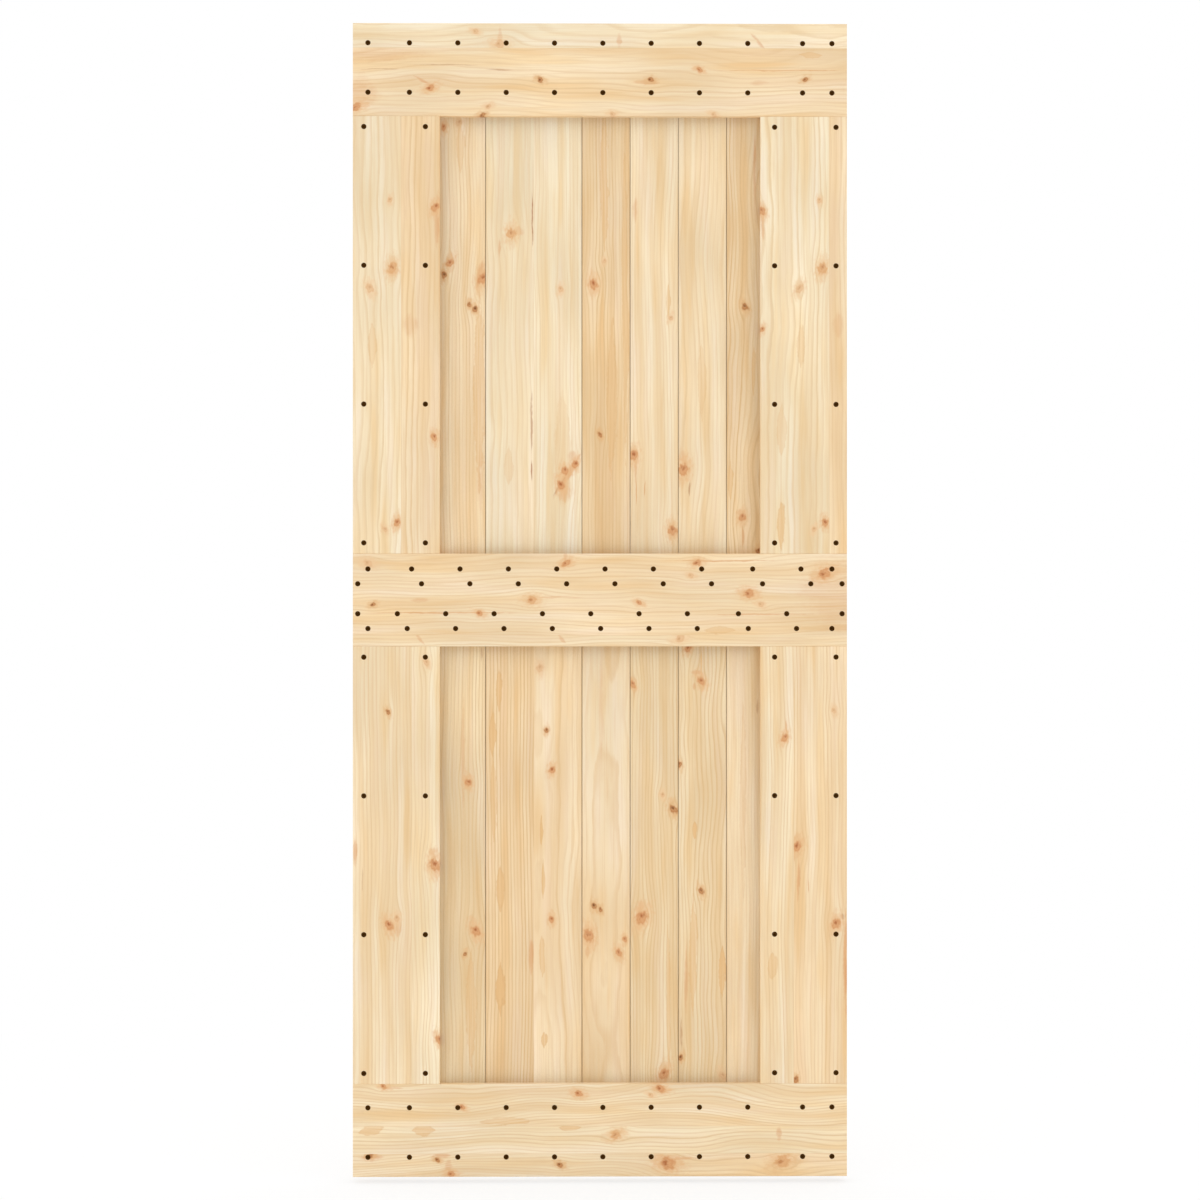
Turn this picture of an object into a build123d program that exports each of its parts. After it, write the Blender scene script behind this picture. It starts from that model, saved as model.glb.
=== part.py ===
from build123d import *
import math
import os

# Sliding door leaf of solid pine: vertical tongue-and-groove planks in two halves,
# held between a front and a back frame of butted rails and stiles.
# Millimetres. The origin is the middle of the top edge, +Z is up, the front faces -Y.

# Leaf
LEAF_WIDTH = 900.0
LEAF_HEIGHT = 2100.0

# Frame boards, alike on both faces
RAIL_HEIGHT = 169.0
STILE_WIDTH = 158.0
FRAME_THICKNESS = 14.0
FRAME_ARRIS = 1.0

# Planks
PLANK_THICKNESS = 12.5
PLANK_COVER = 88.0
FIRST_PLANK_COVER = 65.0
LEAST_LAST_COVER = 30.0
PLANK_ARRIS = 1.0
SEAM_GAP = 0.6
END_GAP = 1.0
TIGHT_SEAM = 4

# Tongue and groove
TONGUE_LENGTH = 8.0
TONGUE_THICKNESS = 4.0
TONGUE_NOSE = 1.0
TONGUE_SIDE_CLEARANCE = 0.2
TONGUE_END_CLEARANCE = 0.5

# Countersunk screw holes in the front boards
SCREW_HOLE = 4.8
COUNTERSINK = 10.0
COUNTERSINK_ANGLE = 90.0

# Screws of the top and bottom rails: rows from the rail's outer and inner edge,
# columns from each plank's left seam, with the last one further right
RAIL_ROW_OUTER = 36.0
RAIL_ROW_INNER = 43.0
RAIL_SCREW_INSET = 38.0
RAIL_LATE_COLUMNS = 1
RAIL_LATE_SHIFT = 12.0
SIDE_SCREW_INSET = 27.5

# Screws of the middle rail: a staggered pair into each upper plank and each lower plank,
# with the last two pairs further right
UPPER_PAIR_ROW = 28.0
LOWER_PAIR_ROW = 32.5
PAIR_ROW_STEP = 27.0
UPPER_PAIR_INSET = 42.0
LOWER_PAIR_INSET = 34.0
PAIR_STAGGER = 18.0
PAIR_LATE_COLUMNS = 2
PAIR_LATE_SHIFT = 5.0
SIDE_PAIR_INSET = 9.0

# Screws of the stiles
STILE_SCREW_ROWS = 4
STILE_ROW_END = 19.5
STILE_SCREW_OUTER = 20.0
STILE_SCREW_INNER = 26.0

# Places that follow from the sizes
HALF_WIDTH = LEAF_WIDTH / 2
STILE_LENGTH = (LEAF_HEIGHT - 3 * RAIL_HEIGHT) / 2
PLANK_LENGTH = (LEAF_HEIGHT - END_GAP) / 2
FRAME_MIDDLE_Y = (PLANK_THICKNESS + FRAME_THICKNESS) / 2
RAIL_Z = {
    "top": -RAIL_HEIGHT / 2,
    "middle": -LEAF_HEIGHT / 2,
    "bottom": RAIL_HEIGHT / 2 - LEAF_HEIGHT,
}
STILE_X = {
    "left": STILE_WIDTH / 2 - HALF_WIDTH,
    "right": HALF_WIDTH - STILE_WIDTH / 2,
}
STILE_Z = {
    "upper": -RAIL_HEIGHT - STILE_LENGTH / 2,
    "lower": RAIL_HEIGHT + STILE_LENGTH / 2 - LEAF_HEIGHT,
}


def plank_seams():
    """Seam lines across the leaf, from its left side to its right side."""
    seams = [-HALF_WIDTH]
    seam = FIRST_PLANK_COVER - HALF_WIDTH
    while seam < HALF_WIDTH - LEAST_LAST_COVER:
        seams.append(seam)
        seam += PLANK_COVER
    return seams + [HALF_WIDTH]


SEAMS = plank_seams()
LAST = len(SEAMS) - 1


def is_open(seam):
    """Open seams have a gap and bevelled arrises, unlike the leaf's sides and the tight seam."""
    return seam not in (0, TIGHT_SEAM, LAST)


def plank_section(number):
    """Cross-section of one plank: groove on its left, tongue on its right."""
    left = SEAMS[number - 1]
    right = SEAMS[number]
    left_shoulder = left + (SEAM_GAP / 2 if is_open(number - 1) else 0)
    right_shoulder = right - (SEAM_GAP / 2 if is_open(number) else 0)
    width = right_shoulder - left_shoulder
    section = Pos((left_shoulder + right_shoulder) / 2, 0) * Rectangle(width, PLANK_THICKNESS)
    if is_open(number - 1):
        section = chamfer(section.vertices().group_by(Axis.X)[0], PLANK_ARRIS)
    if is_open(number):
        section = chamfer(section.vertices().group_by(Axis.X)[-1], PLANK_ARRIS)
    if number < LAST:
        root = right_shoulder - TONGUE_LENGTH
        tip = right + TONGUE_LENGTH
        tongue = Pos((root + tip) / 2, 0) * Rectangle(tip - root, TONGUE_THICKNESS)
        section += fillet(tongue.vertices().group_by(Axis.X)[-1], TONGUE_NOSE)
    if number > 1:
        mouth = left - SEAM_GAP
        end = left + TONGUE_LENGTH + TONGUE_END_CLEARANCE
        groove_width = TONGUE_THICKNESS + 2 * TONGUE_SIDE_CLEARANCE
        section -= Pos((mouth + end) / 2, 0) * Rectangle(end - mouth, groove_width)
    return section


def plank(number, foot):
    """One plank standing with its lower end at height foot."""
    return Pos(0, 0, foot) * extrude(plank_section(number), amount=PLANK_LENGTH)


def screw_columns(inset, side_inset, late, shift):
    """Places across a rail: one in each ripped side plank and one in each full plank, the late ones shifted."""
    full = [seam + inset for seam in SEAMS[1:-2]]
    shifted = [x + shift for x in full[-late:]]
    return [side_inset - HALF_WIDTH] + full[:-late] + shifted + [HALF_WIDTH - side_inset]


def rail_screws(upside):
    """Screw places of the top rail (upside 1) or the bottom rail (upside -1), from the rail's middle."""
    rows = [RAIL_HEIGHT / 2 - RAIL_ROW_OUTER, RAIL_ROW_INNER - RAIL_HEIGHT / 2]
    columns = screw_columns(RAIL_SCREW_INSET, SIDE_SCREW_INSET, RAIL_LATE_COLUMNS, RAIL_LATE_SHIFT)
    return [(x, upside * row) for row in rows for x in columns]


def middle_rail_screws():
    """Screw places of the middle rail, from the rail's middle."""
    upper = RAIL_HEIGHT / 2 - UPPER_PAIR_ROW
    lower = LOWER_PAIR_ROW - RAIL_HEIGHT / 2
    rows = [
        (upper, UPPER_PAIR_INSET, SIDE_SCREW_INSET),
        (upper - PAIR_ROW_STEP, UPPER_PAIR_INSET + PAIR_STAGGER, SIDE_PAIR_INSET),
        (lower + PAIR_ROW_STEP, LOWER_PAIR_INSET - PAIR_STAGGER, SIDE_PAIR_INSET),
        (lower, LOWER_PAIR_INSET, SIDE_SCREW_INSET),
    ]
    places = []
    for z, inset, side_inset in rows:
        columns = screw_columns(inset, side_inset, PAIR_LATE_COLUMNS, PAIR_LATE_SHIFT)
        places += [(x, z) for x in columns]
    return places


def stile_screws(outward):
    """Screw places of a stile whose outer edge is on the left (-1) or the right (1), from its middle."""
    columns = [
        outward * (STILE_WIDTH / 2 - STILE_SCREW_OUTER),
        outward * (STILE_SCREW_INNER - STILE_WIDTH / 2),
    ]
    step = (STILE_LENGTH - 2 * STILE_ROW_END) / (STILE_SCREW_ROWS - 1)
    rows = [STILE_LENGTH / 2 - STILE_ROW_END - step * row for row in range(STILE_SCREW_ROWS)]
    return [(x, z) for z in rows for x in columns]


def screw_hole(x, z):
    """Countersunk clearance hole entering a front board at its face."""
    slope = (COUNTERSINK - SCREW_HOLE) / 2
    sink = slope / math.tan(math.radians(COUNTERSINK_ANGLE / 2))
    bore = Pos(0, 0, -FRAME_THICKNESS / 2) * Cylinder(SCREW_HOLE / 2, FRAME_THICKNESS)
    cone = Pos(0, 0, -sink / 2) * Cone(SCREW_HOLE / 2, COUNTERSINK / 2, sink)
    return Pos(x, -FRAME_THICKNESS / 2, z) * Rot(90, 0, 0) * (bore + cone)


def frame_board(width, height):
    """Frame board around its own middle, its seen face at -Y with eased edges."""
    board = Box(width, FRAME_THICKNESS, height)
    return fillet(board.faces().sort_by(Axis.Y)[0].edges(), FRAME_ARRIS)


def front_board(width, height, x, z, screws):
    board = frame_board(width, height) - [screw_hole(*place) for place in screws]
    return Pos(x, -FRAME_MIDDLE_Y, z) * board


def back_board(width, height, x, z):
    return Pos(x, FRAME_MIDDLE_Y, z) * Rot(0, 0, 180) * frame_board(width, height)


parts = {}
for number in range(1, LAST + 1):
    parts[f"upper_plank_{number:02d}"] = plank(number, -PLANK_LENGTH)
    parts[f"lower_plank_{number:02d}"] = plank(number, -LEAF_HEIGHT)

RAIL_SCREWS = {"top": rail_screws(1), "middle": middle_rail_screws(), "bottom": rail_screws(-1)}
for place, z in RAIL_Z.items():
    parts[f"front_{place}_rail"] = front_board(LEAF_WIDTH, RAIL_HEIGHT, 0, z, RAIL_SCREWS[place])
    parts[f"back_{place}_rail"] = back_board(LEAF_WIDTH, RAIL_HEIGHT, 0, z)

STILE_SCREWS = {"left": stile_screws(-1), "right": stile_screws(1)}
for level, z in STILE_Z.items():
    for side, x in STILE_X.items():
        name = f"{level}_{side}_stile"
        parts[f"front_{name}"] = front_board(STILE_WIDTH, STILE_LENGTH, x, z, STILE_SCREWS[side])
        parts[f"back_{name}"] = back_board(STILE_WIDTH, STILE_LENGTH, x, z)

os.makedirs("parts", exist_ok=True)
for name, shape in parts.items():
    export_step(shape, f"parts/{name}.step")
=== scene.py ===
"""Looks of the pine sliding door leaf: board-by-board pine, countersunk screws, pale studio."""
import math
import random

import bpy
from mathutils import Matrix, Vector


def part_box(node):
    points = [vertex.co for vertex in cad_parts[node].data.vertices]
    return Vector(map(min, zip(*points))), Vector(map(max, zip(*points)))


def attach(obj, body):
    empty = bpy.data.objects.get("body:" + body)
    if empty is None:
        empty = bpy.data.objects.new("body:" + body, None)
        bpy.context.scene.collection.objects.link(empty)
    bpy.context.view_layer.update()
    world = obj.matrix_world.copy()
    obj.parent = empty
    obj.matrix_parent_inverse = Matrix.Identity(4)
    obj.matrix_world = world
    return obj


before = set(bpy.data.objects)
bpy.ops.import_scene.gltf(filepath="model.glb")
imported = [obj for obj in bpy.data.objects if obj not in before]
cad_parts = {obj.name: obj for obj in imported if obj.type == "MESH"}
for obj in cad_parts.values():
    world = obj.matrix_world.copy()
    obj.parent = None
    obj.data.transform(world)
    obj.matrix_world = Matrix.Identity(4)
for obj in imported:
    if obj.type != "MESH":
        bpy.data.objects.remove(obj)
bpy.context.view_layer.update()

# Leaf sizes in mm
LEAF_WIDTH = 900.0
LEAF_HEIGHT = 2100.0
LEAF_THICKNESS = 40.5
FLOOR_GAP = 12.0
SINK_DEPTH = 2.6


# Shader helpers

def linear(rgb):
    """Linear colour of an sRGB colour written 0 to 255."""
    parts = [c / 255 for c in rgb]
    return [c / 12.92 if c <= 0.04045 else ((c + 0.055) / 1.055) ** 2.4 for c in parts] + [1.0]


def feed(tree, socket, value):
    """Links an output to a socket, or writes a constant on it."""
    if isinstance(value, bpy.types.NodeSocket):
        tree.links.new(value, socket)
    elif value is not None:
        socket.default_value = value


def maths(tree, operation, *values):
    node = tree.nodes.new("ShaderNodeMath")
    node.operation = operation
    for socket, value in zip(node.inputs, values):
        feed(tree, socket, value)
    return node.outputs[0]


def smooth(tree, value, start, end, low=0.0, high=1.0):
    """Smooth step of value from start to end, giving low to high."""
    node = tree.nodes.new("ShaderNodeMapRange")
    node.interpolation_type = "SMOOTHSTEP"
    for socket, given in zip(node.inputs, (value, start, end, low, high)):
        feed(tree, socket, given)
    return node.outputs[0]


def vector(tree, x, y, z):
    node = tree.nodes.new("ShaderNodeCombineXYZ")
    for socket, value in zip(node.inputs, (x, y, z)):
        feed(tree, socket, value)
    return node.outputs[0]


def noise(tree, place, scale=1.0, detail=2.0, roughness=0.5):
    node = tree.nodes.new("ShaderNodeTexNoise")
    feed(tree, node.inputs["Vector"], place)
    node.inputs["Scale"].default_value = scale
    node.inputs["Detail"].default_value = detail
    node.inputs["Roughness"].default_value = roughness
    return node.outputs["Fac"]


def mix(tree, factor, first, second, blend="MIX"):
    node = tree.nodes.new("ShaderNodeMix")
    node.data_type = "RGBA"
    node.blend_type = blend
    feed(tree, node.inputs[0], factor)
    feed(tree, node.inputs[6], first)
    feed(tree, node.inputs[7], second)
    return node.outputs[2]


def new_group(name, inputs, outputs):
    group = bpy.data.node_groups.new(name, "ShaderNodeTree")
    for label in inputs:
        group.interface.new_socket(label, in_out="INPUT", socket_type="NodeSocketFloat")
    for label in outputs:
        group.interface.new_socket(label, in_out="OUTPUT", socket_type="NodeSocketFloat")
    return group, group.nodes.new("NodeGroupInput").outputs, group.nodes.new("NodeGroupOutput").inputs


def use_group(tree, group, *values):
    node = tree.nodes.new("ShaderNodeGroup")
    node.node_tree = group
    for socket, value in zip(node.inputs, values):
        feed(tree, socket, value)
    return node.outputs


# Knots: width in mm of the rim round a knot's stated radius, and how close its own rings are
KNOT_RIM = 2.5
KNOT_RINGS = 13.0


def knot_group():
    """Knot at a place: how far it bends the grain, its core, its halo along the grain and its eye."""
    group, given, out = new_group(
        "knot",
        ("along", "across", "at_along", "at_across", "radius", "lean", "grit", "here"),
        ("shift", "core", "halo", "eye"),
    )
    off_along = maths(group, "SUBTRACT", given["along"], given["at_along"])
    off_across = maths(group, "SUBTRACT", given["across"], given["at_across"])
    d_along = maths(group, "DIVIDE", off_along, given["radius"])
    d_across = maths(group, "DIVIDE", off_across, given["radius"])
    leaning = maths(group, "ADD", d_across, maths(group, "MULTIPLY", given["lean"], d_along))

    def away(stretch, side, shifted=0.0):
        short = maths(group, "DIVIDE", maths(group, "ADD", d_along, shifted), stretch)
        squares = maths(group, "ADD", maths(group, "POWER", short, 2.0), maths(group, "POWER", side, 2.0))
        return maths(group, "SQRT", squares)

    def put(label, value):
        feed(group, out[label], maths(group, "MULTIPLY", value, given["here"]))

    reach = away(1.8, d_across)
    push = maths(group, "DIVIDE", -1.5, maths(group, "ADD", maths(group, "POWER", reach, 2.0), 0.7))
    fade = smooth(group, reach, 2.0, 7.0, 1.0, 0.0)
    turned = maths(group, "MULTIPLY", maths(group, "MULTIPLY", d_across, push), fade)
    put("shift", maths(group, "MULTIPLY", turned, given["radius"]))
    core = maths(group, "MULTIPLY_ADD", given["grit"], 1.2, away(1.15, leaning))
    swing = maths(group, "SINE", maths(group, "MULTIPLY", core, KNOT_RINGS))
    rings = maths(group, "MULTIPLY_ADD", swing, 0.12, 0.88)
    put("core", maths(group, "MULTIPLY", smooth(group, core, 0.6, 1.05, 1.0, 0.0), rings))
    eye = maths(group, "MULTIPLY_ADD", given["grit"], 1.2, away(1.0, leaning, 0.25))
    put("eye", smooth(group, eye, 0.0, 0.5, 1.0, 0.0))
    halo = maths(group, "MULTIPLY_ADD", given["grit"], 2.2, away(1.7, leaning))
    put("halo", smooth(group, halo, 0.5, 2.0, 1.0, 0.0))
    return group


def mark_group():
    """Pointed streak or flame at a place, along the grain or leaning across it, with a soft ragged edge."""
    group, given, out = new_group(
        "mark",
        (
            "along", "across", "at_along", "at_across",
            "half_length", "half_width", "lean", "rough", "edge",
        ),
        ("mask", "rim"),
    )
    d_along = maths(group, "SUBTRACT", given["along"], given["at_along"])
    d_across = maths(group, "SUBTRACT", given["across"], given["at_across"])
    leaning = maths(group, "SUBTRACT", d_across, maths(group, "MULTIPLY", given["lean"], d_along))
    length_share = maths(group, "POWER", maths(group, "DIVIDE", d_along, given["half_length"]), 2.0)
    width_share = maths(group, "ABSOLUTE", maths(group, "DIVIDE", leaning, given["half_width"]))
    lens = maths(group, "ADD", length_share, width_share)
    ragged = maths(group, "MULTIPLY_ADD", given["rough"], 1.2, lens)
    mask = smooth(group, ragged, given["edge"], 1.15, 1.0, 0.0)
    feed(group, out["mask"], mask)
    feed(group, out["rim"], maths(group, "MULTIPLY", mask, maths(group, "SUBTRACT", 1.0, mask)))
    return group


KNOT = knot_group()
MARK = mark_group()

# Pine tones, sRGB, and how early wood, late wood and the darkest lines differ from them
TONES = {
    "pale": (246, 226, 190),
    "cream": (245, 222, 184),
    "peach": (244, 218, 178),
    "sand": (240, 215, 174),
    "honey": (239, 210, 167),
    "beige": (236, 206, 162),
}
EARLYWOOD = (1.03, 1.08, 1.15, 1.0)
AMBER = (0.98, 0.91, 0.80, 1.0)
MILKY = (1.01, 1.02, 1.09, 1.0)
LATEWOOD = (0.95, 0.90, 0.83, 1.0)
DARKWOOD = (0.85, 0.74, 0.61, 1.0)
# Knots: colours of core, eye and halo, and how much core and eye cover
KNOTS = {
    "dark": ((186, 122, 68), (108, 62, 28), (227, 180, 126), 0.9, 0.8),
    "red": ((212, 146, 92), (170, 94, 48), (232, 185, 134), 0.8, 0.8),
    "amber": ((222, 166, 112), (190, 122, 68), (234, 192, 142), 0.8, 0.7),
    "faint": ((227, 181, 134), (207, 155, 106), (238, 200, 154), 0.7, 0.7),
}
# Marks: colour, and where from their middle they start to fade
FLAME_RIM = (218, 166, 104)
MARKS = {
    "flame": ((231, 188, 132), 0.65),
    "streak": ((220, 160, 108), 0.2),
    "brown": ((172, 102, 58), 0.2),
}
# Figure of the grain in mm: its length along the board and its width across
WANDER = (380.0, 150.0)
HEAVE = (240.0, 120.0)
ROUGH = (40.0, 9.0)
GRIT = (8.0, 4.5)
STRETCH = (260.0, 26.0)
FIBRE = (110.0, 2.4)
BAND_LENGTH = 600.0
# How far in mm the grain wanders across a board and heaves through its thickness
WANDER_REACH = 46.0
HEAVE_REACH = 40.0
# Planed, unvarnished surface; the bump's height is in metres
WOOD_ROUGHNESS = 0.62
WOOD_SPECULAR = 0.25
BUMP_STRENGTH = 0.25
BUMP_HEIGHT = 0.0003
# Painted shade in the corners: how far in metres the frame darkens the planks' colour behind it, how much
# of the colour is left in the deepest shade, and how many ambient occlusion rays measure it
PAINTED_SHADE_REACH = 0.08
PAINTED_SHADE_DARKEST = 0.78
PAINTED_SHADE_RAYS = 5


def pine(
    name, run, tones, pith, spacing=6.0, contrast=0.8, wave=1.0, strips=(), knots=(), marks=(), seed=0
):
    """Pine board. run is the grain's direction, pith the ring centre (across, depth) in leaf mm."""
    material = bpy.data.materials.new(name)
    material.use_nodes = True
    tree = material.node_tree
    shader = tree.nodes["Principled BSDF"]

    place = tree.nodes.new("ShaderNodeSeparateXYZ")
    tree.links.new(tree.nodes.new("ShaderNodeTexCoord").outputs["Object"], place.inputs[0])
    from_left = maths(tree, "MULTIPLY_ADD", place.outputs[0], 1000.0, LEAF_WIDTH / 2)
    down = maths(tree, "MULTIPLY", place.outputs[2], -1000.0)
    depth = maths(tree, "MULTIPLY", place.outputs[1], 1000.0)
    along, across = (from_left, down) if run == "x" else (down, from_left)

    def grain(length, width, layer, detail=2.0):
        """Noise drawn out along the grain, from -0.5 to 0.5; length and width are its size in mm."""
        on = maths(tree, "DIVIDE", along, length)
        aside = maths(tree, "DIVIDE", across, width)
        spot = vector(tree, on, aside, layer)
        return maths(tree, "SUBTRACT", noise(tree, spot, 1.0, detail), 0.5)

    # Edge-glued strips: each has a tone and grain of its own
    strip = 0.0
    base = linear(TONES[tones[0]])
    for edge, tone in zip(strips, tones[1:]):
        beyond = maths(tree, "GREATER_THAN", across, float(edge))
        strip = maths(tree, "ADD", strip, beyond)
        base = mix(tree, beyond, base, linear(TONES[tone]))
    layer = maths(tree, "MULTIPLY_ADD", strip, 17.3, float(seed))

    def on_strip(spot):
        """1 on the strip that holds a place across the board, 0 on the others."""
        return maths(tree, "COMPARE", strip, float(sum(spot > edge for edge in strips)), 0.5)

    # Slow wander of the grain, and raggedness
    wander = grain(*WANDER, layer, 1.0)
    heave = grain(*HEAVE, maths(tree, "ADD", layer, 5.5), 1.5)
    rough = grain(*ROUGH, layer)
    grit = grain(*GRIT, maths(tree, "MULTIPLY_ADD", depth, 0.2, layer), 3.0)

    # Knots bend the grain round them
    bent = maths(tree, "MULTIPLY_ADD", wander, WANDER_REACH * wave, across)
    spots = []
    for at_left, at_down, radius, kind in knots:
        at_along, at_across = (at_left, at_down) if run == "x" else (at_down, at_left)
        lean = 0.3 * math.sin(at_left + at_down)
        outputs = use_group(
            tree, KNOT, along, across, float(at_along), float(at_across),
            radius + KNOT_RIM, lean, grit, on_strip(at_across),
        )
        bent = maths(tree, "ADD", bent, outputs["shift"])
        spots.append((outputs, KNOTS[kind]))

    # Growth rings round the pith
    pith_across = maths(tree, "MULTIPLY_ADD", strip, 41.0, float(pith[0]))
    side = maths(tree, "SUBTRACT", bent, pith_across)
    heaved = maths(tree, "MULTIPLY_ADD", heave, HEAVE_REACH * wave, depth)
    back = maths(tree, "SUBTRACT", heaved, float(pith[1]))
    squares = maths(tree, "ADD", maths(tree, "POWER", side, 2.0), maths(tree, "POWER", back, 2.0))
    ring_radius = maths(tree, "SQRT", squares)
    ring = maths(tree, "MULTIPLY_ADD", rough, 0.35, maths(tree, "DIVIDE", ring_radius, spacing))
    part = maths(tree, "FRACT", ring)
    year = tree.nodes.new("ShaderNodeTexWhiteNoise")
    year.noise_dimensions = "1D"
    feed(tree, year.inputs["W"], maths(tree, "ADD", maths(tree, "FLOOR", ring), layer))
    strength = maths(tree, "MULTIPLY_ADD", year.outputs["Value"], 0.7, 0.3)
    rise = smooth(tree, part, 0.45, 0.85)
    fall = smooth(tree, part, 0.87, 1.0, 1.0, 0.0)
    late = maths(tree, "MULTIPLY", maths(tree, "MULTIPLY", rise, fall), strength)

    # Tone: broad bands, amber and milky stretches, rings, fibres
    def shade(tint):
        return mix(tree, 1.0, base, tint, "MULTIPLY")

    on_band = maths(tree, "DIVIDE", along, BAND_LENGTH)
    broad = noise(tree, vector(tree, on_band, maths(tree, "MULTIPLY", ring, 0.35), layer))
    colour = mix(tree, smooth(tree, broad, 0.30, 0.70), shade(EARLYWOOD), shade(LATEWOOD))
    stretch = grain(*STRETCH, maths(tree, "ADD", layer, 9.1))
    amber = mix(tree, 1.0, colour, AMBER, "MULTIPLY")
    colour = mix(tree, smooth(tree, stretch, 0.0, 0.2), colour, amber)
    milky = mix(tree, 1.0, colour, MILKY, "MULTIPLY")
    colour = mix(tree, smooth(tree, stretch, -0.2, 0.0, 1.0, 0.0), colour, milky)
    slow = maths(tree, "MULTIPLY_ADD", heave, 0.3, 1.0)
    colour = mix(tree, 1.0, colour, slow, "MULTIPLY")
    colour = mix(tree, maths(tree, "MULTIPLY", late, contrast), colour, shade(DARKWOOD))
    fibre = grain(*FIBRE, maths(tree, "DIVIDE", depth, FIBRE[1]), 3.0)
    colour = mix(tree, smooth(tree, fibre, -0.05, 0.3, 0.0, 0.45), colour, shade(DARKWOOD))
    for edge in strips:
        near = maths(tree, "ABSOLUTE", maths(tree, "SUBTRACT", across, float(edge)))
        colour = mix(tree, smooth(tree, near, 0.2, 0.9, 0.35, 0.0), colour, shade(DARKWOOD))

    lines = smooth(tree, fibre, -0.25, 0.2, 0.6, 1.0)
    ragged = maths(tree, "MULTIPLY_ADD", grit, 0.6, rough)
    swerve = maths(tree, "MULTIPLY_ADD", rough, 6.0, maths(tree, "MULTIPLY_ADD", wander, 8.0, across))
    for at_left, at_down, half_length, half_width, tint, much, *lean in marks:
        at_along, at_across = (at_left, at_down) if run == "x" else (at_down, at_left)
        shade_of, edge = MARKS[tint]
        outputs = use_group(
            tree, MARK, along, swerve, float(at_along), float(at_across),
            float(half_length), float(half_width), lean[0] if lean else 0.0, ragged, edge,
        )
        here = maths(tree, "MULTIPLY", on_strip(at_across), float(much))
        cover = maths(tree, "MULTIPLY", maths(tree, "MULTIPLY", outputs["mask"], lines), here)
        colour = mix(tree, cover, colour, linear(shade_of))
        if tint == "flame":
            rim = maths(tree, "MULTIPLY", maths(tree, "MULTIPLY", outputs["rim"], 1.6), here)
            colour = mix(tree, rim, colour, linear(FLAME_RIM))
    for outputs, (core, eye, halo, core_cover, eye_cover) in spots:
        colour = mix(tree, maths(tree, "MULTIPLY", outputs["halo"], 0.7), colour, linear(halo))
        colour = mix(tree, maths(tree, "MULTIPLY", outputs["core"], core_cover), colour, linear(core))
        colour = mix(tree, maths(tree, "MULTIPLY", outputs["eye"], eye_cover), colour, linear(eye))

    # Painted shade: the planks' colour is darkened near the frame, where the frame shades the recess, by an
    # ambient occlusion node
    if "plank" in name:
        painted_shade_occlusion = tree.nodes.new("ShaderNodeAmbientOcclusion")
        painted_shade_occlusion.samples = PAINTED_SHADE_RAYS
        painted_shade_occlusion.inputs["Distance"].default_value = PAINTED_SHADE_REACH
        painted_shade = smooth(tree, painted_shade_occlusion.outputs["AO"], 1 - 1 / PAINTED_SHADE_RAYS, 1.0, PAINTED_SHADE_DARKEST, 1.0)
        # painted shade multiplied into the base colour
        colour = mix(tree, 1.0, colour, painted_shade, "MULTIPLY")

    feed(tree, shader.inputs["Base Color"], colour)
    shader.inputs["Roughness"].default_value = WOOD_ROUGHNESS
    shader.inputs["Specular IOR Level"].default_value = WOOD_SPECULAR
    bump = tree.nodes.new("ShaderNodeBump")
    bump.inputs["Strength"].default_value = BUMP_STRENGTH
    bump.inputs["Distance"].default_value = BUMP_HEIGHT
    feed(tree, bump.inputs["Height"], fibre)
    feed(tree, shader.inputs["Normal"], bump.outputs[0])
    return material


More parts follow.
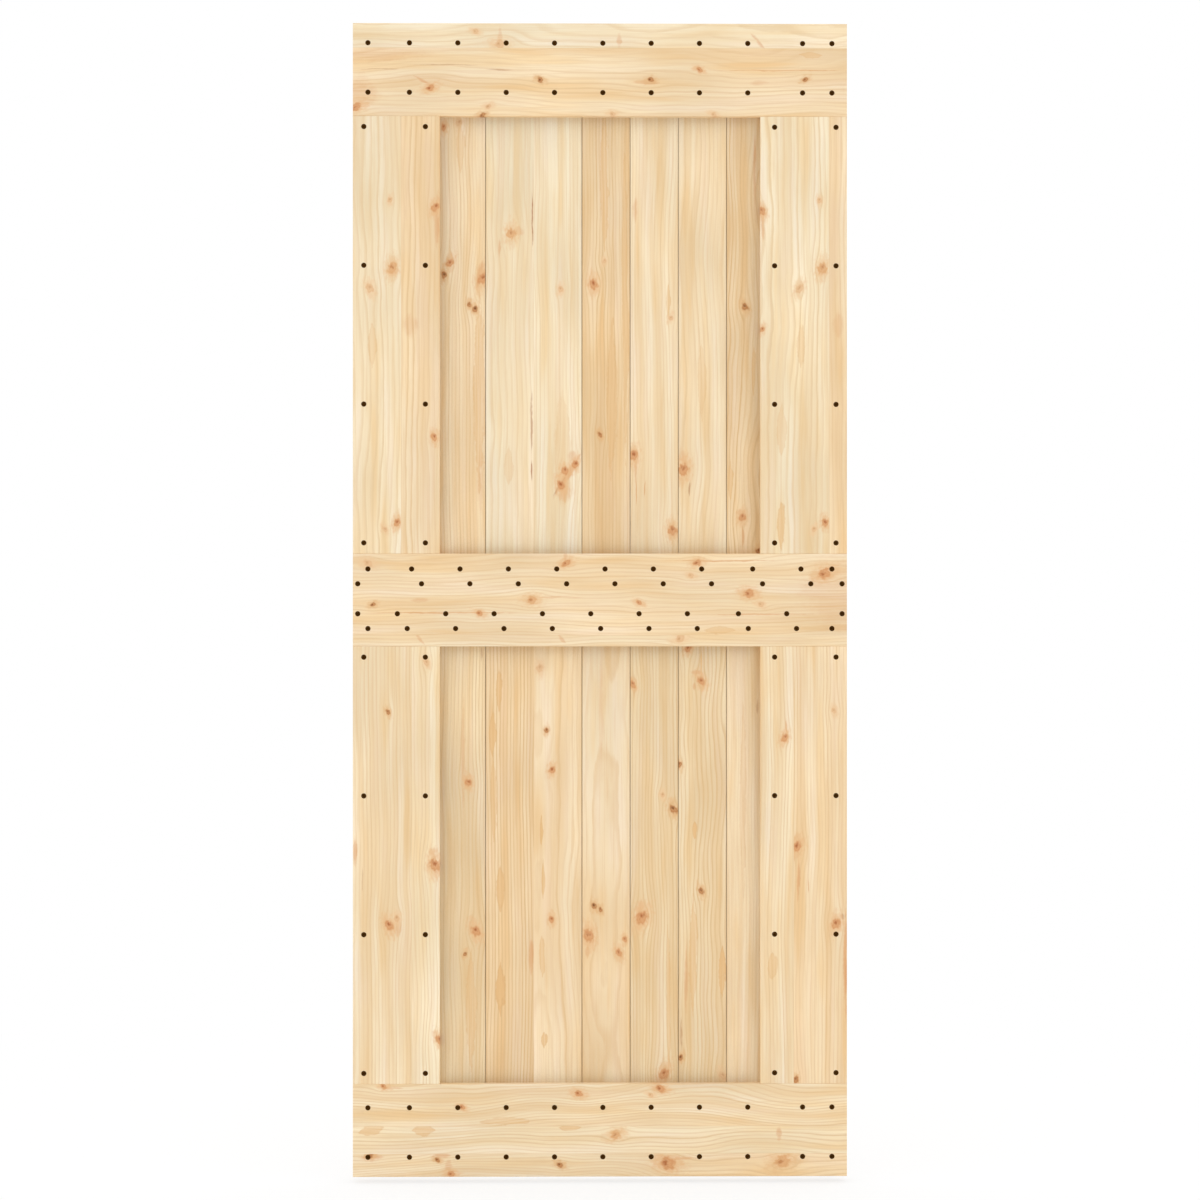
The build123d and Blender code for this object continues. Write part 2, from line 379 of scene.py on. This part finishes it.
# Boards of the front, with places as (mm from the left side, mm below the top edge).
# Knots are (place, radius, kind); marks are (place, half length, half width, kind, cover, lean if any).
BOARDS = {
    "front_top_rail": dict(
        run="x", tones=("pale", "peach"), pith=(-15, 55), strips=(45,), contrast=0.65,
        knots=[
            (223, 15, 3, "faint"), (267, 38, 7, "faint"), (141, 118, 5, "red"), (341, 103, 3, "dark"),
            (6, 153, 6, "red"), (247, 151, 3, "faint"), (236, 167, 3, "dark"),
            (631, 84, 3, "red"), (542, 102, 3, "dark"), (824, 101, 2.5, "dark"),
            (657, 165, 2.5, "faint"), (473, 165, 3, "faint")
        ],
        marks=[
            (132, 110, 22, 5.0, "streak", 0.7, 0.6), (268, 25, 5, 20, "streak", 0.4),
            (533, 107, 27, 6.4, "streak", 0.55), (485, 31, 6, 16, "streak", 0.5),
            (738, 32, 15, 6, "streak", 0.6, 1.1), (740, 107, 20, 5.5, "streak", 0.4),
            (50, 58, 109, 16.4, "streak", 0.3), (832, 57, 22, 5.5, "flame", 0.6),
            (13, 130, 40, 36.5, "streak", 0.4),
            (167, 78, 72, 1.4, "brown", 0.5), (52, 85, 50, 1.3, "brown", 0.4),
            (265, 86, 27, 1.3, "brown", 0.5), (775, 85, 125, 1.5, "streak", 0.9)
        ],
    ),
    "front_middle_rail": dict(
        run="x", tones=("peach", "cream"), pith=(905, 45), strips=(1114,), wave=0.9, contrast=0.65,
        knots=[
            (28, 983, 6, "faint"), (388, 983, 5, "red"), (326, 1050, 7, "amber"), (37, 1058, 2.5, "dark"),
            (231, 1074, 3.5, "red"), (627, 982, 5, "red"),
            (615, 1005, 3, "faint"), (859, 1002, 9, "red"), (721, 1038, 7, "red"),
            (743, 1058, 3.5, "faint"), (521, 1055, 3, "red"), (596, 1120, 6, "faint")
        ],
        marks=[
            (124, 1050, 20, 5.5, "streak", 0.5), (122, 1121, 11, 6, "streak", 0.5, 1.2),
            (387, 971, 5, 10.9, "streak", 0.5), (668, 1105, 29, 7.3, "flame", 0.5),
            (380, 1120, 9, 6, "streak", 0.5, 1.0), (892, 1036, 90, 90, "streak", 0.25),
            (378, 1045, 55, 2.2, "streak", 0.5), (159, 1073, 146, 1.8, "streak", 0.8),
            (742, 1076, 109, 1.8, "streak", 0.7), (669, 978, 109, 1.8, "streak", 0.7)
        ],
    ),
    "front_bottom_rail": dict(
        run="x", tones=("cream", "pale", "cream"), pith=(1880, 15), strips=(2008, 2058),
        wave=2.0, contrast=0.9,
        knots=[
            (56, 1935, 3.5, "red"), (199, 1973, 3, "red"), (411, 1949, 5, "red"), (32, 2061, 3, "dark"),
            (179, 2095, 4.5, "red"), (154, 2069, 2, "dark"), (377, 2078, 3.5, "dark"),
            (560, 1940, 6, "red"), (542, 1951, 2.5, "faint"), (479, 2024, 7, "amber"),
            (573, 2076, 11, "red"), (782, 2073, 12, "amber")
        ],
        marks=[
            (33, 2016, 24, 10, "flame", 0.65, -0.2), (130, 2015, 21, 10, "flame", 0.65),
            (35, 2064, 24, 10.9, "streak", 0.6), (161, 2061, 18, 9.1, "streak", 0.55),
            (174, 2082, 9, 14.6, "streak", 0.55), (73, 1938, 22, 3.6, "streak", 0.6),
            (602, 2067, 31, 4.6, "streak", 0.55), (776, 2024, 6, 16.4, "streak", 0.5),
            (278, 1999, 47, 7.3, "flame", 0.5), (396, 2012, 22, 4.6, "flame", 0.7)
        ],
    ),
    "front_upper_left_stile": dict(
        run="z", tones=("pale", "peach"), pith=(-40, 60), spacing=8.0, strips=(88,), wave=0.6,
        knots=[
            (150, 335, 6, "red"), (68, 322, 2.5, "faint"), (72, 446, 8, "amber"), (31, 483, 6, "faint"),
            (148, 754, 4.5, "red"), (80, 909, 5, "red"), (58, 921, 3, "faint")
        ],
        marks=[
            (152, 362, 55, 6.4, "streak", 0.6), (34, 586, 42, 7.5, "flame", 0.45),
            (104, 550, 26, 14.6, "streak", 0.35), (70, 453, 9, 12.8, "streak", 0.5)
        ],
    ),
    "front_upper_right_stile": dict(
        run="z", tones=("pale", "peach"), pith=(710, 60), spacing=8.0, strips=(868,), wave=0.6,
        knots=[
            (745, 341, 5, "red"), (850, 322, 2.5, "faint"), (855, 446, 8, "amber"), (813, 483, 6, "faint"),
            (745, 557, 3, "red"), (860, 909, 5, "red"), (840, 921, 3, "faint")
        ],
        marks=[
            (746, 362, 40, 4.6, "streak", 0.55), (816, 586, 42, 7.5, "flame", 0.45),
            (884, 550, 26, 12.8, "streak", 0.3), (853, 453, 9, 12.8, "streak", 0.5),
            (781, 914, 47, 7.3, "flame", 0.75), (781, 741, 47, 9.1, "flame", 0.4)
        ],
    ),
    "front_lower_left_stile": dict(
        run="z", tones=("cream", "pale"), pith=(-70, 40), strips=(107,), wave=0.5,
        knots=[
            (134, 1164, 4, "faint"), (64, 1254, 2.5, "dark"), (149, 1532, 9.5, "red"), (66, 1642, 7, "red"),
            (80, 1629, 4, "faint"), (158, 1851, 6, "red")
        ],
        marks=[
            (4, 1508, 31, 5.5, "streak", 0.7), (81, 1643, 26, 9.1, "streak", 0.45),
            (146, 1510, 13, 10.9, "streak", 0.4), (17, 1561, 26, 1.5, "brown", 0.4)
        ],
    ),
    "front_lower_right_stile": dict(
        run="z", tones=("cream", "peach"), pith=(965, 40), strips=(803,), wave=0.5,
        knots=[
            (786, 1301, 5, "red"), (877, 1252, 3, "faint"), (808, 1500, 8, "red"), (880, 1640, 7, "red"),
            (806, 1924, 4, "dark")
        ],
        marks=[
            (811, 1565, 47, 2.9, "streak", 0.75), (829, 1570, 18, 1.5, "streak", 0.6),
            (765, 1718, 27, 9.1, "flame", 0.5), (892, 1627, 7, 7.3, "brown", 0.4),
            (788, 1279, 16, 2.2, "streak", 0.6), (897, 1707, 110, 5.5, "streak", 0.9)
        ],
    ),
    "upper_plank_03": dict(
        run="z", tones=("peach",), pith=(50, 30), wave=0.5,
        knots=[
            (165, 187, 4, "red"), (192, 179, 4, "faint"), (176, 435, 5, "red"), (165, 457, 4, "dark"),
            (236, 463, 8, "red"), (211, 511, 2.5, "dark"), (222, 519, 3.5, "dark")
        ],
        marks=[
            (196, 222, 48, 7.0, "flame", 0.45), (230, 668, 182, 10.9, "flame", 0.55),
            (232, 832, 73, 7.3, "streak", 0.3), (233, 452, 32, 8, "streak", 0.75, -0.25)
        ],
    ),
    "upper_plank_04": dict(
        run="z", tones=("pale",), pith=(215, 55), spacing=7.0, wave=0.6, contrast=0.7,
        knots=[
            (288, 381, 8, "amber")
        ],
        marks=[
            (267, 408, 22, 3.6, "streak", 0.6), (301, 377, 11, 10.9, "streak", 0.4),
            (327, 352, 60, 2.2, "brown", 0.9), (325, 725, 60, 3.0, "brown", 0.7),
            (326, 814, 22, 2.8, "brown", 0.9), (283, 806, 34, 8.0, "flame", 0.35)
        ],
    ),
    "upper_plank_05": dict(
        run="z", tones=("pale",), pith=(235, 70), wave=0.5, contrast=0.55,
        knots=[
            (378, 483, 3.5, "faint"), (405, 802, 5, "red"), (386, 814, 5, "red"), (378, 840, 6, "red")
        ],
        marks=[
            (390, 822, 46, 9, "streak", 0.8, -0.62), (383, 850, 26, 18, "streak", 0.5),
            (375, 842, 22, 4, "brown", 0.5, -0.6),
            (398, 787, 11, 10.9, "streak", 0.4), (381, 777, 109, 14.6, "flame", 0.25)
        ],
    ),
    "upper_plank_06": dict(
        run="z", tones=("beige",), pith=(610, 40), wave=0.5,
        knots=[
            (438, 473, 7, "red"), (450, 748, 3, "dark"), (458, 431, 2, "faint")
        ],
        marks=[
            (458, 285, 128, 7.3, "flame", 0.6), (471, 686, 146, 9.1, "flame", 0.55),
            (496, 504, 292, 5.5, "flame", 0.5)
        ],
    ),
    "upper_plank_07": dict(
        run="z", tones=("cream",), pith=(705, 60), wave=0.6, contrast=0.55,
        knots=[
            (579, 535, 2.5, "faint"), (511, 786, 7, "red"), (582, 923, 7, "red")
        ],
        marks=[
            (514, 338, 26, 7.3, "streak", 0.55), (515, 810, 33, 5.5, "streak", 0.5),
            (516, 854, 26, 1.5, "streak", 0.8), (531, 847, 18, 1.3, "streak", 0.7),
            (575, 504, 33, 3.6, "flame", 0.6)
        ],
    ),
    "upper_plank_08": dict(
        run="z", tones=("cream",), pith=(540, 80), wave=0.6, contrast=0.6,
        knots=[
            (602, 812, 9.5, "red")
        ],
        marks=[
            (614, 847, 15, 2.6, "brown", 0.65), (602, 788, 15, 9.1, "streak", 0.4),
            (635, 650, 73, 7.3, "flame", 0.35)
        ],
    ),
    "upper_plank_09": dict(
        run="z", tones=("honey",), pith=(765, 50), spacing=5.5, contrast=1.1,
        knots=[
            (715, 515, 4.5, "dark"), (710, 899, 5, "red"), (739, 960, 3, "dark")
        ],
        marks=[
            (733, 267, 73, 3.6, "streak", 0.6), (711, 932, 29, 1.8, "streak", 0.7),
            (706, 890, 7, 10.9, "streak", 0.5), (730, 632, 44, 3.6, "flame", 0.7),
            (689, 832, 36, 4.6, "flame", 0.7)
        ],
    ),
    "lower_plank_03": dict(
        run="z", tones=("sand",), pith=(70, 40), wave=0.5,
        knots=[
            (210, 1383, 4.5, "red"), (223, 1654, 7.5, "red"), (204, 1696, 2, "dark")
        ],
        marks=[
            (234, 1149, 16, 2.2, "brown", 0.4), (201, 1342, 109, 5.5, "streak", 0.4),
            (214, 1798, 109, 9.1, "flame", 0.5)
        ],
    ),
    "lower_plank_04": dict(
        run="z", tones=("honey",), pith=(470, 20), wave=0.4, contrast=1.0,
        marks=[
            (266, 1213, 40, 5.5, "flame", 0.9), (255, 1297, 40, 6.4, "flame", 0.9),
            (256, 1415, 80, 5.5, "flame", 0.6), (267, 1578, 44, 7.3, "flame", 0.8),
            (267, 1760, 46, 8.2, "flame", 1), (323, 1700, 36, 6.6, "streak", 0.7)
        ],
    ),
    "lower_plank_05": dict(
        run="z", tones=("peach",), pith=(345, 55), wave=0.8,
        knots=[
            (340, 1174, 5, "faint"), (352, 1288, 2.5, "dark"), (362, 1360, 4.5, "red"),
            (362, 1633, 4, "red")
        ],
        marks=[
            (344, 1472, 29, 2.7, "flame", 1), (348, 1561, 36, 2.9, "flame", 0.8),
            (345, 1698, 40, 5.5, "flame", 0.6), (347, 1853, 15, 5.5, "flame", 0.8)
        ],
    ),
    "lower_plank_06": dict(
        run="z", tones=("peach",), pith=(462, 60), wave=0.7,
        knots=[
            (439, 1609, 3.5, "dark"), (429, 1663, 9, "red"), (495, 1670, 3, "red"), (484, 1694, 5, "red"),
            (451, 1616, 2.5, "dark")
        ],
        marks=[
            (427, 1692, 15, 5.5, "streak", 0.5), (453, 1233, 146, 7.3, "streak", 0.2)
        ],
    ),
    "lower_plank_07": dict(
        run="z", tones=("sand",), pith=(690, 30), wave=0.4, contrast=0.9,
        knots=[
            (510, 1204, 4, "red"), (584, 1432, 6, "dark"), (564, 1406, 2.5, "faint"),
            (526, 1630, 10.5, "red"), (567, 1916, 8, "red")
        ],
        marks=[
            (524, 1616, 22, 12.8, "streak", 0.4), (513, 1215, 22, 3.6, "streak", 0.4),
            (575, 1780, 146, 3.6, "flame", 0.6)
        ],
    ),
    "lower_plank_08": dict(
        run="z", tones=("sand",), pith=(705, 45), contrast=0.9,
        knots=[
            (611, 1138, 5, "red"), (635, 1198, 6, "red"), (595, 1350, 3, "dark"), (635, 1582, 4, "dark"),
            (597, 1886, 3.5, "dark"), (674, 1919, 5, "faint")
        ],
        marks=[
            (626, 1182, 5, 12.8, "streak", 0.6), (622, 1208, 9, 4.6, "streak", 0.6),
            (674, 1729, 46, 6.4, "flame", 1), (599, 1842, 36, 2.6, "brown", 0.55),
            (623, 1470, 18, 4.0, "flame", 0.9), (607, 1743, 73, 4.6, "streak", 0.5),
            (620, 1698, 109, 7.3, "flame", 0.6), (635, 1167, 26, 1.8, "flame", 0.8)
        ],
    ),
    "lower_plank_09": dict(
        run="z", tones=("peach",), pith=(560, 40), wave=0.4, contrast=0.4,
        marks=[
            (737, 1246, 16, 3.6, "brown", 0.4), (711, 1415, 182, 5.5, "flame", 0.4)
        ],
    ),
}

# Boards of the back and behind the stiles: the same pine with knots of their own
UNSEEN_TONES = ["cream", "honey", "sand", "peach", "beige"]
KNOT_RADII = (2.5, 7.5)
WIDEST_STRIP = 100.0
chance = random.Random(11)


def unseen_board(name):
    """Look of a board of the back or behind a stile, with a few knots strewn over it."""
    low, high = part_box(name)
    left, right = low[0] * 1000 + LEAF_WIDTH / 2, high[0] * 1000 + LEAF_WIDTH / 2
    top, bottom = -high[2] * 1000, -low[2] * 1000
    run = "x" if name.endswith("rail") else "z"
    start, end = (top, bottom) if run == "x" else (left, right)
    middle, width = (start + end) / 2, end - start
    knots = []
    for _ in range(chance.randint(3, 6)):
        kind = chance.choice(["dark", "red", "red", "faint"])
        place = (chance.uniform(left, right), chance.uniform(top, bottom))
        knots.append((*place, chance.uniform(*KNOT_RADII), kind))
    strips = (middle + chance.uniform(-0.25, 0.25) * width,) if width > WIDEST_STRIP else ()
    pith = (middle + chance.uniform(-1.0, 1.0) * width, chance.uniform(-90, -50))
    tones = [chance.choice(UNSEEN_TONES) for _ in range(len(strips) + 1)]
    return dict(run=run, tones=tones, pith=pith, strips=strips, knots=knots, wave=0.7)


for number, (name, node) in enumerate(sorted(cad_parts.items())):
    look = BOARDS[name] if name in BOARDS else unseen_board(name)
    node.data.materials.clear()
    node.data.materials.append(pine("pine_" + name, seed=3 * number, **look))


# Countersunk screws, sunk in the holes of the front boards

def screw_steel():
    material = bpy.data.materials.new("screw_steel")
    material.use_nodes = True
    tree = material.node_tree
    shader = tree.nodes["Principled BSDF"]
    coordinate = tree.nodes.new("ShaderNodeTexCoord").outputs["Object"]
    worn = noise(tree, coordinate, 900.0, 3.0)
    colour = mix(tree, smooth(tree, worn, 0.35, 0.7), linear((60, 36, 8)), linear((82, 52, 16)))
    feed(tree, shader.inputs["Base Color"], colour)
    feed(tree, shader.inputs["Roughness"], smooth(tree, worn, 0.3, 0.7, 0.6, 0.75))
    shader.inputs["Specular IOR Level"].default_value = 0.03
    return material


# Screw in mm: its outline as (radius, depth below the board's face) from the shank's end to the head's
# face, the six-lobed recess in the head, and how far a hole's points lie from its first one
SIDES = 24
SCREW_PROFILE = [(2.2, 13.6), (2.2, 2.75), (4.75, 0.20), (4.75, 0.14), (4.6, 0.08)]
LOBES = 6
RECESS_RADIUS = 1.75
RECESS_LOBE = 0.35
RECESS_MOUTH = 0.06
RECESS_FLOOR = 1.7
RECESS_TAPER = 0.92
HOLE_REACH = 6.0


def hole_places(node):
    """Middle (x, z) of each countersunk hole of a board, from the ring where its cone meets the bore."""
    ring_y = (-LEAF_THICKNESS / 2 + SINK_DEPTH) / 1000
    holes = []
    for vertex in node.data.vertices:
        x, y, z = vertex.co
        if abs(y - ring_y) > 1e-5:
            continue
        for hole in holes:
            if (hole[0] - x) ** 2 + (hole[1] - z) ** 2 < (HOLE_REACH / 1000) ** 2:
                hole[2].append((x, z))
                break
        else:
            holes.append((x, z, [(x, z)]))
    middles = []
    for _, _, points in holes:
        xs = [p[0] for p in points]
        zs = [p[1] for p in points]
        middles.append(((min(xs) + max(xs)) / 2, (min(zs) + max(zs)) / 2))
    return middles


def screws(node, steel, turns):
    """One joined mesh of the screws of a board, each head with a six-lobed recess."""
    face_y = -LEAF_THICKNESS / 2
    points = []
    faces = []
    for x, z in hole_places(node):
        turn = turns.uniform(0, 2 * math.pi)
        start = len(points)
        rings = [[(r, deep)] * SIDES for r, deep in SCREW_PROFILE]
        angles = [2 * math.pi * k / SIDES for k in range(SIDES)]
        star = [RECESS_RADIUS + RECESS_LOBE * math.cos(LOBES * angle) for angle in angles]
        rings.append([(r, RECESS_MOUTH) for r in star])
        rings.append([(r * RECESS_TAPER, RECESS_FLOOR) for r in star])
        for ring in rings:
            for angle, (r, deep) in zip(angles, ring):
                aside = r * math.cos(turn + angle)
                up = r * math.sin(turn + angle)
                points.append((x + aside / 1000, (face_y + deep) / 1000, z + up / 1000))
        for n in range(len(rings) - 1):
            for k in range(SIDES):
                a = start + n * SIDES + k
                b = start + n * SIDES + (k + 1) % SIDES
                faces.append((a, b, b + SIDES, a + SIDES))
        faces.append([start + (len(rings) - 1) * SIDES + k for k in range(SIDES)])
        faces.append([start + k for k in reversed(range(SIDES))])
    mesh = bpy.data.meshes.new("screws_" + node.name)
    mesh.from_pydata(points, [], faces)
    mesh.materials.append(steel)
    piece = bpy.data.objects.new("screws_" + node.name, mesh)
    bpy.context.scene.collection.objects.link(piece)
    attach(piece, "root")


steel = screw_steel()
turns = random.Random(7)
for name, node in sorted(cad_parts.items()):
    if name.startswith("front_"):
        screws(node, steel, turns)


# Studio: pale floor that fades to white, soft light from all round that is dimmer from front and back
FLOOR_SIZE = 40.0
FLOOR_FADE = (0.5, 2.2)
FLOOR_WHITE = (0.78, 1.0)
SIDE_LIGHT = 1.43
FRONT_LOSS = 0.64


def floor_material():
    material = bpy.data.materials.new("floor")
    material.use_nodes = True
    tree = material.node_tree
    tree.nodes.clear()
    output = tree.nodes.new("ShaderNodeOutputMaterial")
    paint = tree.nodes.new("ShaderNodeBsdfDiffuse")
    paint.inputs["Color"].default_value = (0.9, 0.9, 0.9, 1.0)
    white = tree.nodes.new("ShaderNodeEmission")
    white.inputs["Strength"].default_value = 1.0
    distance = tree.nodes.new("ShaderNodeVectorMath")
    distance.operation = "LENGTH"
    tree.links.new(tree.nodes.new("ShaderNodeTexCoord").outputs["Object"], distance.inputs[0])
    far = smooth(tree, distance.outputs["Value"], *FLOOR_FADE, *FLOOR_WHITE)
    seen = maths(tree, "MULTIPLY", far, tree.nodes.new("ShaderNodeLightPath").outputs["Is Camera Ray"])
    blend = tree.nodes.new("ShaderNodeMixShader")
    feed(tree, blend.inputs[0], seen)
    tree.links.new(paint.outputs[0], blend.inputs[1])
    tree.links.new(white.outputs[0], blend.inputs[2])
    tree.links.new(blend.outputs[0], output.inputs["Surface"])
    return material


bpy.ops.mesh.primitive_plane_add(size=FLOOR_SIZE, location=(0, 0, -(LEAF_HEIGHT + FLOOR_GAP) / 1000))
floor = bpy.context.object
floor.name = "floor"
floor.data.materials.append(floor_material())

scene = bpy.context.scene
world = bpy.data.worlds.new("studio")
scene.world = world
world.use_nodes = True
tree = world.node_tree
tree.nodes.clear()
light = tree.nodes.new("ShaderNodeBackground")
direction = tree.nodes.new("ShaderNodeSeparateXYZ")
tree.links.new(tree.nodes.new("ShaderNodeTexCoord").outputs["Generated"], direction.inputs[0])
ahead = maths(tree, "ABSOLUTE", direction.outputs[1])
feed(tree, light.inputs["Strength"], maths(tree, "MULTIPLY_ADD", ahead, -FRONT_LOSS, SIDE_LIGHT))
seen = tree.nodes.new("ShaderNodeBackground")
paths = tree.nodes.new("ShaderNodeLightPath")
blend = tree.nodes.new("ShaderNodeMixShader")
tree.links.new(paths.outputs["Is Camera Ray"], blend.inputs[0])
tree.links.new(light.outputs[0], blend.inputs[1])
tree.links.new(seen.outputs[0], blend.inputs[2])
seen.inputs["Color"].default_value = (1, 1, 1, 1)
light.inputs["Color"].default_value = (1, 1, 1, 1)
output = tree.nodes.new("ShaderNodeOutputWorld")
tree.links.new(blend.outputs[0], output.inputs["Surface"])

# Camera: square on, very slightly to the left, at the leaf's middle height
CAMERA_DISTANCE = 5.0
CAMERA_YAW = math.radians(0.57)
FRAME_HEIGHT = 2.1852
camera = bpy.data.cameras.new("camera")
camera.sensor_width = 36.0
camera.lens = 36.0 * CAMERA_DISTANCE / FRAME_HEIGHT
eye = bpy.data.objects.new("camera", camera)
scene.collection.objects.link(eye)
reach = CAMERA_DISTANCE + LEAF_THICKNESS / 2000
eye.location = (-reach * math.sin(CAMERA_YAW), -reach * math.cos(CAMERA_YAW), -LEAF_HEIGHT / 2000)
eye.rotation_euler = (math.pi / 2, 0, -CAMERA_YAW)
scene.camera = eye
scene.view_settings.view_transform = "Standard"
